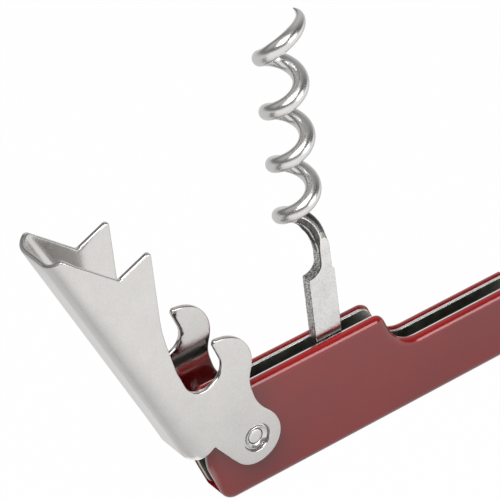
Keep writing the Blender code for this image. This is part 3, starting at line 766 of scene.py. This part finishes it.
class CORKSCREW_OT_lever(Operator):
    """Build the folded steel lever with its cap lifter, teeth and lip"""

    bl_idname = "corkscrew.lever"
    bl_label = "Lever"

    def execute(self, context):
        sizes = context.scene.corkscrew_lever
        look = context.scene.corkscrew_finish
        sheet = LeverSheet(sizes)
        front, rear = (
            [Vector((point.x, sheet.flat(point.y))) for point in sheet.side(lip)]
            for lip in (sheet.FRONT_LIP, sheet.REAR_LIP)
        )
        outline = rear + [Vector((point.x, -point.y)) for point in reversed(front)]
        spacing = 0.32 * MM
        outline = evenly(outline, spacing)
        if drawn_in(outline, 1.0)[0].length > drawn_in(outline, -1.0)[0].length:
            outline.reverse()
        ears = [Vector((0.0, side * sheet.flat(0.0))) for side in (-1, 1)]
        loops = [outline] + [self.ring(ear, sizes.hole / 2) for ear in ears]
        edge = sizes.edge
        rims = [drawn_in(loop, edge) for loop in loops]
        spots, edges = [], []
        for rim in rims:
            first = len(spots)
            spots += rim
            edges += [(first + k, first + (k + 1) % len(rim)) for k in range(len(rim))]
        spots += self.seeds(sizes, sheet, rims, ears)
        verts, _, faces, origins = delaunay_2d_cdt(spots, edges, [], 0, 1e-9)[:4]
        found = {origin: k for k, group in enumerate(origins) for origin in group}
        shape = bmesh.new()
        outer = [shape.verts.new(sheet.place(vert.x, vert.y, 0.0)) for vert in verts]
        inner = [shape.verts.new(sheet.place(vert.x, vert.y, sizes.sheet)) for vert in verts]
        for face in faces:
            middle = sum((verts[k] for k in face), Vector((0.0, 0.0))) / len(face)
            if inside(middle, rims[0]) and not any(inside(middle, rim) for rim in rims[1:]):
                shape.faces.new([outer[k] for k in face])
                shape.faces.new([inner[k] for k in reversed(face)])
        first = 0
        for loop, rim in zip(loops, rims):
            rows = [[outer[found[first + k]] for k in range(len(rim))]]
            for inset, depth in self.rounding(edge, sizes.sheet):
                row = drawn_in(loop, inset)
                rows.append([shape.verts.new(sheet.place(at.x, at.y, depth)) for at in row])
            rows.append([inner[found[first + k]] for k in range(len(rim))])
            for upper, lower in zip(rows, rows[1:]):
                for k in range(len(rim)):
                    n = (k + 1) % len(rim)
                    shape.faces.new((upper[k], lower[k], lower[n], upper[n]))
            first += len(rim)
        loose = [vert for vert in shape.verts if not vert.link_faces]
        bmesh.ops.delete(shape, geom=loose, context="VERTS")
        bmesh.ops.recalc_face_normals(shape, faces=shape.faces)
        turn = Matrix.Rotation(-sizes.open_angle, 4, "Y")
        bmesh.ops.transform(
            shape, matrix=Matrix.Translation(PIVOT["lever"]) @ turn, verts=shape.verts
        )
        lever = settle(built("lever_sheet", shape), sharp=60.0)
        dress(lever, [satin_steel(look)], "lever", "lever")
        return {"FINISHED"}

    def ring(self, centre, radius, steps=64):
        turns = [-2 * math.pi * k / steps for k in range(steps)]
        return [centre + Vector((math.cos(t), math.sin(t))) * radius for t in turns]

    def rounding(self, edge, sheet, steps=4):
        """(inset, depth) of the rows of points round the sheet's edge, from face to face."""
        turns = [math.pi / 2 * k / steps for k in range(1, steps + 1)]
        rows = [(edge * (1 - math.sin(t)), edge * (1 - math.cos(t))) for t in turns]
        return rows + [(inset, sheet - depth) for inset, depth in reversed(rows)]

    def seeds(self, sizes, sheet, rims, ears):
        """Points inside the flat pattern: rings round the rivet, and lines along the folds."""
        rings, ring_end, ear_end, rim_gap = 12, 3.2 * MM, 3.4 * MM, 0.3 * MM
        start, step = -4.0 * MM, 1.25 * MM
        points = []
        for ear in ears:
            for k in range(1, rings + 1):
                reach = sizes.hole / 2 + sizes.edge
                reach += (ring_end - reach) * k / rings
                points += self.ring(ear, reach)
        lines = [sheet.web * k / 3 for k in range(-3, 4)]
        for side in (-1, 1):
            lines += [side * (sheet.web + sheet.arc * k / 18) for k in range(1, 19)]
            lines += [side * (sheet.web + sheet.arc + 1.6 * MM * k) for k in range(1, 11)]
        for across in lines:
            for k in range(50):
                point = Vector((start + step * k, across))
                rim = min((point - edge).length for edge in rims[0])
                ear = min((point - centre).length for centre in ears)
                if rim > rim_gap and ear > ear_end and inside(point, rims[0]):
                    points.append(point)
        return points


class CORKSCREW_OT_rivet(Operator):
    """Build the rivet of the lever and the washer in each dimple"""

    bl_idname = "corkscrew.rivet"
    bl_label = "Rivet and Washers"

    def execute(self, context):
        sizes = context.scene.corkscrew_lever
        look = context.scene.corkscrew_finish
        bright = polished_steel(look)
        centre = PIVOT["lever"]
        low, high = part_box("lever_rivet")
        inset, dome, edge = 0.22 * MM, 0.06 * MM, 0.16 * MM
        radius = sizes.rivet / 2 - inset
        head = [
            (0.0, 0.0),
            (radius * 0.55, dome * 0.35),
            (radius - edge, dome),
            (radius - edge * 0.3, dome + edge * 0.3),
            (radius, dome + edge),
        ]
        run = [(r, low.y + y) for r, y in head] + [(r, high.y - y) for r, y in reversed(head)]
        rivet = settle(lathe("rivet", run, centre), sharp=40.0)
        dress(rivet, [bright], "lever", "lever_rivet")
        grip, edge, lip, sunk, seat = 0.12 * MM, 0.1 * MM, 0.12 * MM, 0.42 * MM, 0.36 * MM
        outer = sizes.washer / 2
        inner = sizes.rivet / 2 - grip
        collar = [(2.44, 0.42), (2.38, 0.8), (2.3, 1.25), (2.22, 1.65)]
        for node in ("front_rivet_washer", "rear_rivet_washer"):
            low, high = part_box(node)
            face, back = (low.y, high.y) if high.y < 0 else (high.y, low.y)
            deep = (back - face) / abs(back - face)
            ring = [
                (inner, face + deep * (sunk + edge)),
                (inner + edge * 0.4, face + deep * (sunk + edge * 0.2)),
                (inner + edge, face + deep * sunk),
                (outer - 2 * lip, face + deep * lip),
                (outer - lip, face),
                (outer - lip * 0.3, face + deep * lip * 0.3),
                (outer, face + deep * lip),
                (outer, face + deep * seat),
            ]
            ring += [(reach * MM, face + deep * depth * MM) for reach, depth in collar]
            ring += [(inner, back), ring[0]]
            washer = settle(lathe(node + "_ring", ring, centre), sharp=40.0)
            dress(washer, [bright], "lever", node)
        return {"FINISHED"}


WIRE_SIZES = (
    "Diameter", "Wire", "Pitch", "Offset", "Start", "Start Angle", "Turn",
    "Tip Turn", "Tip Radius", "Tip Flare", "Tip Drop", "Tip Raise", "Tip Draw",
)
DRAWN_FROM, DRAWN_TO = 4.35, 0.35  # radians before the point, where the last turn is drawn up


def wire_tree():
    """Node group that sweeps a round wire along the worm's helix and tapers it to its point."""
    tree = bpy.data.node_groups.new("worm_wire", "GeometryNodeTree")
    for name in WIRE_SIZES:
        tree.interface.new_socket(name, in_out="INPUT", socket_type="NodeSocketFloat")
    tree.interface.new_socket("Material", in_out="INPUT", socket_type="NodeSocketMaterial")
    tree.interface.new_socket("Geometry", in_out="OUTPUT", socket_type="NodeSocketGeometry")
    entry = tree.nodes.new("NodeGroupInput")
    size = {name: Value(tree, entry.outputs[name]) for name in WIRE_SIZES}
    part = add(tree, "GeometryNodeSplineParameter", out="Factor")
    turn = size["Start Angle"] + size["Turn"] * part
    left = (1 - part) * size["Turn"]
    past = (1 - left / size["Tip Turn"]).clipped()
    radius = size["Wire"] / 2 + (size["Tip Radius"] - size["Wire"] / 2) * past**2.4
    reach = size["Diameter"] / 2 + size["Tip Flare"] * past - radius
    last = left.ramp(DRAWN_FROM, DRAWN_TO)
    last = last * last * (3 - 2 * last)
    x = reach * turn.math("COSINE", turn) - size["Offset"]
    y = reach * turn.math("SINE", turn) * (1 - size["Tip Draw"] * last)
    rise = size["Pitch"] * size["Turn"] * part / (2 * math.pi)
    rise = rise + size["Tip Raise"] * last * (1 - past) - size["Tip Drop"] * past**2
    z = size["Start"] + rise
    place = add(tree, "ShaderNodeCombineXYZ", sockets={"X": x, "Y": y, "Z": z})
    line = add(tree, "GeometryNodeCurvePrimitiveLine")
    line = add(tree, "GeometryNodeResampleCurve", sockets={"Curve": line, "Count": 420})
    line = add(tree, "GeometryNodeSetPosition", sockets={"Geometry": line, "Position": place})
    line = add(tree, "GeometryNodeSetCurveRadius", sockets={"Curve": line, "Radius": radius})
    ring = add(tree, "GeometryNodeCurvePrimitiveCircle", sockets={"Resolution": 32, "Radius": 1.0})
    wire = add(
        tree,
        "GeometryNodeCurveToMesh",
        sockets={"Curve": line, "Profile Curve": ring, "Fill Caps": True, "Scale": radius},
    )
    wire = add(tree, "GeometryNodeRealizeInstances", sockets={"Geometry": wire})
    wire = add(
        tree,
        "GeometryNodeSetMaterial",
        sockets={"Geometry": wire, "Material": Value(tree, entry.outputs["Material"])},
    )
    leave = tree.nodes.new("NodeGroupOutput")
    connect(tree, leave.inputs["Geometry"], wire)
    return tree


def worm_wire(sizes, material):
    tree = wire_tree()
    wire = new_object("worm_wire", bpy.data.meshes.new("worm_wire"))
    sweep = wire.modifiers.new("sweep", "NODES")
    sweep.node_group = tree
    values = {name: getattr(sizes, name.lower().replace(" ", "_")) for name in WIRE_SIZES}
    values["Material"] = material
    for item in tree.interface.items_tree:
        if item.in_out == "INPUT":
            sweep[item.identifier] = values[item.name]
    bpy.context.view_layer.update()
    graph = bpy.context.evaluated_depsgraph_get()
    mesh = bpy.data.meshes.new_from_object(wire.evaluated_get(graph))
    bpy.data.objects.remove(wire, do_unlink=True)
    return mesh


def bar_section(left, right, half, chamfer, rounding):
    """A ring of points, across and deep: a chamfered bar that rounding turns into a circle."""
    middle = (left + right) / 2
    wide = (right - left) / 2
    ring = []
    for corner in range(4):
        sx, sy = ((1, 1), (-1, 1), (-1, -1), (1, -1))[corner]
        nx, ny = ((-1, 1), (-1, -1), (1, -1), (1, 1))[corner]
        base = math.pi / 4 + corner * math.pi / 2
        arc = min(chamfer, wide * 0.9, half * 0.9)
        for k in range(5):
            turn = base + math.radians(22.5 * k - 45)
            x = sx * (wide - arc) + arc * math.cos(turn)
            y = sy * (half - arc) + arc * math.sin(turn)
            ring.append((x, y, base + math.radians(12 * k - 24)))
        for k in range(1, 4):
            part = k / 4
            x = sx * (wide - arc) * (1 - part) + nx * (wide - arc) * part
            y = sy * (half - arc) * (1 - part) + ny * (half - arc) * part
            if corner in (0, 2):
                y = sy * half
            else:
                x = sx * wide
            ring.append((x, y, base + math.radians(24 + 42 * part)))
    points = []
    for x, y, turn in ring:
        round_x, round_y = wide * math.cos(turn), half * math.sin(turn)
        points.append((middle + x + (round_x - x) * rounding, y + (round_y - y) * rounding))
    return points


class CORKSCREW_OT_worm(Operator):
    """Build the worm: flat shank, neck and helix"""

    bl_idname = "corkscrew.worm"
    bl_label = "Worm"

    NECK = 0.95 * MM  # distance of the neck's middle from the pin, across the shank
    # Rows of sections: the last below the shoulder, and where the neck's bend and the wire begin.
    SHOULDER_ROW, BEND_ROW, WIRE_ROW = 13, 26, 33

    def execute(self, context):
        sizes = context.scene.corkscrew_worm
        look = context.scene.corkscrew_finish
        makers = (polished_steel, ground_steel, sheared_steel, painted_dark_reflection, dull_steel_and_painted_shade)
        finishes = [make(look) for make in makers]
        shape = bmesh.new()
        shape.from_mesh(worm_wire(sizes, finishes[0]))
        for face in shape.faces:
            face.material_index = 0
        self.shank(shape, sizes)
        bmesh.ops.translate(shape, vec=PIVOT["worm"], verts=shape.verts)
        worm = settle(built("worm_screw", shape), sharp=42.0)
        kinds = [face.material_index for face in worm.data.polygons]
        dress(worm, finishes, "worm", "worm")
        worm.data.polygons.foreach_set("material_index", kinds)
        return {"FINISHED"}

    def helix(self, sizes, turn):
        reach = sizes.diameter / 2 - sizes.wire / 2
        height = sizes.start + sizes.pitch * (turn - sizes.start_angle) / (2 * math.pi)
        return Vector((reach * math.cos(turn) - sizes.offset, reach * math.sin(turn), height))

    def sections(self, sizes):
        """(centre, direction, left, right, half thickness, rounding, flare) from tang to wire."""
        half = sizes.shank / 2
        far = 2.8 * MM
        near = sizes.shank_width - far
        up = Vector((0, 0, 1))
        rows = []
        for degrees in range(80, -1, -10):
            turn = math.radians(degrees)
            at = Vector((0, 0, -near * math.sin(turn)))
            rows.append((at, up, -far * math.cos(turn), near * math.cos(turn), half, 0.0, 0.0))
        top = sizes.shank_top
        for part in (0.25, 0.5, 0.75, 0.97, 1.0):
            rows.append((Vector((0, 0, top * part)), up, -far, near, half, 0.0, 0.0))
        neck = self.NECK
        thin = sizes.neck_width / 2
        rise, shoulder, straight = 2.3 * MM, 0.55 * MM, 2.05 * MM
        for k in range(1, 13):
            turn = k / 12 * math.pi / 2
            at = rise * (1 - math.cos(turn))
            left = -far + (neck - thin + far) * math.sin(turn)
            right = neck + thin + (near - neck - thin) * (1 - smooth(at / shoulder))
            rows.append((Vector((0, 0, top + at)), up, left, right, half, 0.0, 0.0))
        start = Vector((0, 0, top + rise + straight))
        rows.append((start, up, neck - thin, neck + thin, half, 0.05, 0.0))
        turn = sizes.start_angle
        end = self.helix(sizes, turn) - Vector((neck, 0, 0))
        ahead = (self.helix(sizes, turn + 0.01) - self.helix(sizes, turn - 0.01)).normalized()
        pull = (end - start).length * 0.42
        for k in range(1, 25):
            t = k / 24
            s = 1 - t
            knots = (start, start + up * pull, end - ahead * pull, end)
            weights = (s**3, 3 * s * s * t, 3 * s * t * t, t**3)
            at = sum((knot * weight for knot, weight in zip(knots, weights)), Vector((0, 0, 0)))
            slopes = (-3 * s * s, 3 * s * s - 6 * s * t, 6 * s * t - 3 * t * t, 3 * t * t)
            way = sum((knot * slope for knot, slope in zip(knots, slopes)), Vector((0, 0, 0)))
            grown = thin + (sizes.wire / 2 - thin) * t
            deep = half + (sizes.wire / 2 - half) * t
            flare = sizes.neck_flare * smooth(t * 3) * smooth(s * 3)
            ends = (neck - grown, neck + grown)
            rows.append((at, way.normalized(), *ends, deep, smooth(t * 3), flare))
        return rows

    def kind(self, row, column, normal):
        """The finish of a face of the shank or neck: ridges stay bright between stripes of dark
        steel that are painted reflection.
        """
        polished, ground, sheared, painted_dark, dull_and_painted_shade = range(5)
        fade = row - self.WIRE_ROW + (column - 20) / 4
        # Along the corner from the shoulder up: a stripe of painted dark reflection.
        if row > self.SHOULDER_ROW and 16 <= column <= 19:
            return painted_dark
        if row < self.BEND_ROW:
            torn = abs(normal.y) < 0.6 and normal.x < 0.4
            return sheared if torn or row < 3 else ground
        if 8 <= column <= 12:
            return sheared
        # Dark stripes on either side of the bright ridge of the neck: painted dark reflection.
        if column in (13, 14) or 21 <= column <= 27 and fade >= 2:
            return painted_dark
        # Where the dark stripes fade into the wire: dull steel as painted shade.
        if 21 <= column <= 27 and fade >= -1:
            return dull_and_painted_shade
        return polished if row >= self.WIRE_ROW or column == 20 else ground

    def shank(self, shape, sizes):
        neck = self.NECK
        chamfer = 0.16 * MM
        rings = []
        across = Vector((1, 0, 0))
        for at, ahead, left, right, half, rounding, flare in self.sections(sizes):
            across = (across - ahead * across.dot(ahead)).normalized()
            deep = ahead.cross(across)
            pivot = at + Vector((neck, 0, 0))
            ring = []
            section = bar_section(left - neck, right - neck, half, chamfer, rounding)
            for k, (x, y) in enumerate(section):
                x -= flare * clamped(min(16 - k, k - 4) / 4)
                ring.append(shape.verts.new(pivot + across * x + deep * y))
            rings.append(ring)
        count = len(rings[0])
        for row, (low, high) in enumerate(zip(rings, rings[1:])):
            for k in range(count):
                n = (k + 1) % count
                face = shape.faces.new((low[k], low[n], high[n], high[k]))
                face.normal_update()
                face.material_index = self.kind(row, k, face.normal)
        shape.faces.new(list(reversed(rings[0]))).material_index = 2
        for face in shape.faces:
            face.smooth = True


class CORKSCREW_OT_blade(Operator):
    """Build the short foil blade"""

    bl_idname = "corkscrew.blade"
    bl_label = "Blade"

    def execute(self, context):
        sizes = context.scene.corkscrew_blade
        look = context.scene.corkscrew_finish
        half = sizes.height / 2
        reach = sizes.reach
        tang = sizes.tang
        curve = 11 * MM - reach
        outline = rounded(
            [
                (half, -half, half),
                (half, half, half),
                (curve, half, 14 * MM),
                (-reach, -0.8 * MM, 0.4 * MM),
                (curve, -half, 12 * MM),
                (-tang, -half, 0),
                (0.8 * MM - tang, 0.7 * MM - half, 0.3 * MM),
                (1.6 * MM - tang, -half, 0),
            ]
        )
        thick = sizes.thickness / 2
        blade = slab("blade", outline, -thick, thick)
        tools = []
        edge = 0.1 * MM
        lean = math.atan2(thick - edge, sizes.grind)
        for side in (-1, 1):
            low = (-reach - 2 * MM, min(0.0, side * 2 * MM), -sizes.height)
            high = (-tang, max(0.0, side * 2 * MM), 2 * sizes.height)
            wedge = block(f"grind_tool_{side + 1}", low, high)
            wedge.data.transform(Matrix.Rotation(-side * lean, 4, "X"))
            wedge.data.transform(Matrix.Translation((0, side * edge, -half)))
            tools.append(wedge)
        nick_corners = ((-35, 1.9), (-27, 1.9), (-27, 1.1), (-35, 1.1))
        nick = rounded([(x * MM, half - drop * MM, 0.3 * MM) for x, drop in nick_corners])
        nick_depth, pin_hole = 0.4 * MM, 1.32 * MM
        tools.append(slab("nick_tool", nick, -thick - 1 * MM, nick_depth - thick))
        tools.append(drum("pin_tool", 0.0, 0.0, pin_hole, -2 * MM, 2 * MM, 48))
        for tool in tools:
            cut(blade, tool)
        soften(blade, 0.06 * MM, 2, 40)
        settle(blade, tools)
        blade.data.transform(Matrix.Translation(PIVOT["knife"]))
        dress(blade, [satin_steel(look)], "knife", "knife_blade")
        return {"FINISHED"}


class CORKSCREW_OT_hidden(Operator):
    """Finish the spring, the pins and the bush inside the handle"""

    bl_idname = "corkscrew.hidden"
    bl_label = "Spring and Pins"

    def execute(self, context):
        look = context.scene.corkscrew_finish
        dull_and_painted_shade = dull_steel_and_painted_shade(look)
        bright = polished_steel(look)
        for node in ("back_spring", "lever_bush", "worm_pin", "knife_pin", "spring_pin"):
            mesh = frame["nodes"][node].data
            mesh.materials.clear()
            mesh.materials.append(dull_and_painted_shade if node == "back_spring" else bright)
        return {"FINISHED"}


class CORKSCREW_OT_stage(Operator):
    """Add the floor, the light and the camera"""

    bl_idname = "corkscrew.stage"
    bl_label = "Stage"

    def execute(self, context):
        sizes = context.scene.corkscrew_stage
        self.floor(sizes)
        self.world(context.scene, sizes)
        self.lamp("key", (-0.32, -0.28, 0.66), (0.5, 0.5), sizes.key)
        self.camera(context.scene, sizes)
        return {"FINISHED"}

    def floor(self, sizes):
        """White paper that glows for the camera and in mirrors; in mirrors it is darker near and
        behind the object as a painted shadow, and brighter beside the lever's end of the handle as
        a painted glow.
        """
        reach, below = 2.5, -0.1 * MM
        corners = [(-reach, -reach), (reach, -reach), (reach, reach), (-reach, reach)]
        mesh = bpy.data.meshes.new("floor")
        mesh.from_pydata([(x, y, below) for x, y in corners], [], [(0, 1, 2, 3)])
        floor = new_object("floor", mesh)
        paper = bpy.data.materials.new("white_paper")
        paper.use_nodes = True
        tree = paper.node_tree
        tree.nodes.clear()
        camera, glossy, through = rays(tree)
        seen = (camera + glossy + through).clipped()
        x, y = axes(tree, add(tree, "ShaderNodeTexCoord", out="Object"), "XY")
        near = y.ramp(-65 * MM, 0.0)
        behind = y.ramp(-4 * MM, 10 * MM)
        painted_glow_beside = x.ramp(-66 * MM, -63 * MM) * x.ramp(-55 * MM, -58 * MM)
        painted_glow_beside = painted_glow_beside * y.ramp(-12 * MM, -8 * MM) * y.ramp(6 * MM, 2 * MM)
        # In mirrors only: a painted shadow near and behind the object, and a painted glow on the
        # floor beside the lever's end of the handle.
        painted_floor_shadow = 0.5 * near * near * (1 - behind) + 0.42 * behind
        strength = 1.02 + glossy * (0.25 + 0.8 * painted_glow_beside - painted_floor_shadow)
        tone = (*sizes.floor, 1.0)
        lit = add(tree, "ShaderNodeBsdfDiffuse", sockets={"Color": (0.3, 0.3, 0.3, 1.0)})
        glow = add(tree, "ShaderNodeEmission", sockets={"Color": tone, "Strength": strength})
        mixed = add(tree, "ShaderNodeMixShader", sockets={0: seen * 0.97, 1: lit, 2: glow})
        out = tree.nodes.new("ShaderNodeOutputMaterial")
        connect(tree, out.inputs["Surface"], mixed)
        mesh.materials.append(paper)

    def world(self, scene, sizes):
        """White for the camera, a room with a low window in mirrors, and an even fill elsewhere."""
        world = bpy.data.worlds.new("studio")
        world.use_nodes = True
        tree = world.node_tree
        tree.nodes.clear()
        seen, glossy, through = rays(tree)
        mirrored = (glossy + through).clipped() * (1 - seen)
        x, y, z = axes(tree, add(tree, "ShaderNodeTexCoord", out="Generated"), "XYZ")
        bright = y.ramp(-0.45, 0.45) * x.ramp(-0.05, 0.3)
        card = x.ramp(-0.1, -0.22) * y.ramp(0.05, 0.25) * z.ramp(0.36, 0.52)
        sky = sizes.sky_dim + (sizes.sky_bright - sizes.sky_dim) * (bright + 0.8 * card).clipped()
        wall = sky + (1.1 - sky) * z.ramp(0.14, 0.02)
        tall = z.ramp(-0.02, 0.02) * z.ramp(0.46, 0.38)
        wide = x.ramp(0.05, 0.15) * x.ramp(0.6, 0.52) * y.ramp(-0.3, -0.4)
        room = wall + sizes.window * tall * wide
        strength = seen + mirrored * room + (1 - seen) * (1 - mirrored) * sizes.fill
        glow = add(tree, "ShaderNodeBackground", sockets={"Strength": strength})
        out = tree.nodes.new("ShaderNodeOutputWorld")
        connect(tree, out.inputs["Surface"], glow)
        scene.world = world

    def lamp(self, name, place, size, power):
        light = bpy.data.lights.new(name, "AREA")
        light.shape = "RECTANGLE"
        light.size, light.size_y = size
        light.energy = power
        lamp = bpy.data.objects.new(name, light)
        bpy.context.scene.collection.objects.link(lamp)
        aim = Vector((0, 0, 0.03)) - Vector(place)
        facing = aim.to_track_quat("-Z", "Y").to_matrix().to_4x4()
        lamp.matrix_world = Matrix.Translation(place) @ facing

    def camera(self, scene, sizes):
        lens = bpy.data.cameras.new("camera")
        lens.sensor_width = 36.0
        lens.lens = sizes.lens
        lens.clip_start = 0.01
        right = Vector((0.81041, -0.57542, -0.11010))
        down = Vector((-0.39886, -0.40427, -0.82309))
        ahead = Vector((0.42912, 0.71096, -0.55714))
        turn = Matrix((right, -down, -ahead)).transposed().to_4x4()
        place = Vector((-246.70, -341.57, 311.79)) * MM
        camera = bpy.data.objects.new("camera", lens)
        scene.collection.objects.link(camera)
        camera.matrix_world = Matrix.Translation(place) @ turn
        scene.camera = camera
        scene.view_settings.view_transform = "Standard"


STEPS = (
    CORKSCREW_OT_shell,
    CORKSCREW_OT_liners,
    CORKSCREW_OT_lever,
    CORKSCREW_OT_rivet,
    CORKSCREW_OT_worm,
    CORKSCREW_OT_blade,
    CORKSCREW_OT_hidden,
    CORKSCREW_OT_stage,
)


class CORKSCREW_PT_panel(Panel):
    """Lists the pieces of the corkscrew"""

    bl_label = "Corkscrew"
    bl_space_type = "VIEW_3D"
    bl_region_type = "UI"
    bl_category = "Corkscrew"

    def draw(self, context):
        for step in STEPS:
            self.layout.operator(step.bl_idname)


SETTINGS = {
    "corkscrew_handle": HandleSettings,
    "corkscrew_lever": LeverSettings,
    "corkscrew_worm": WormSettings,
    "corkscrew_blade": BladeSettings,
    "corkscrew_finish": FinishSettings,
    "corkscrew_stage": StageSettings,
}


def register():
    for name, group in SETTINGS.items():
        bpy.utils.register_class(group)
        setattr(bpy.types.Scene, name, PointerProperty(type=group))
    for step in STEPS:
        bpy.utils.register_class(step)
    bpy.utils.register_class(CORKSCREW_PT_panel)


def unregister():
    bpy.utils.unregister_class(CORKSCREW_PT_panel)
    for step in reversed(STEPS):
        bpy.utils.unregister_class(step)
    for name, group in reversed(list(SETTINGS.items())):
        delattr(bpy.types.Scene, name)
        bpy.utils.unregister_class(group)


def main():
    register()
    bpy.ops.corkscrew.shell()
    bpy.ops.corkscrew.liners()
    bpy.ops.corkscrew.lever()
    bpy.ops.corkscrew.rivet()
    bpy.ops.corkscrew.worm()
    bpy.ops.corkscrew.blade()
    bpy.ops.corkscrew.hidden()
    bpy.ops.corkscrew.stage()


if __name__ == "__main__":
    main()
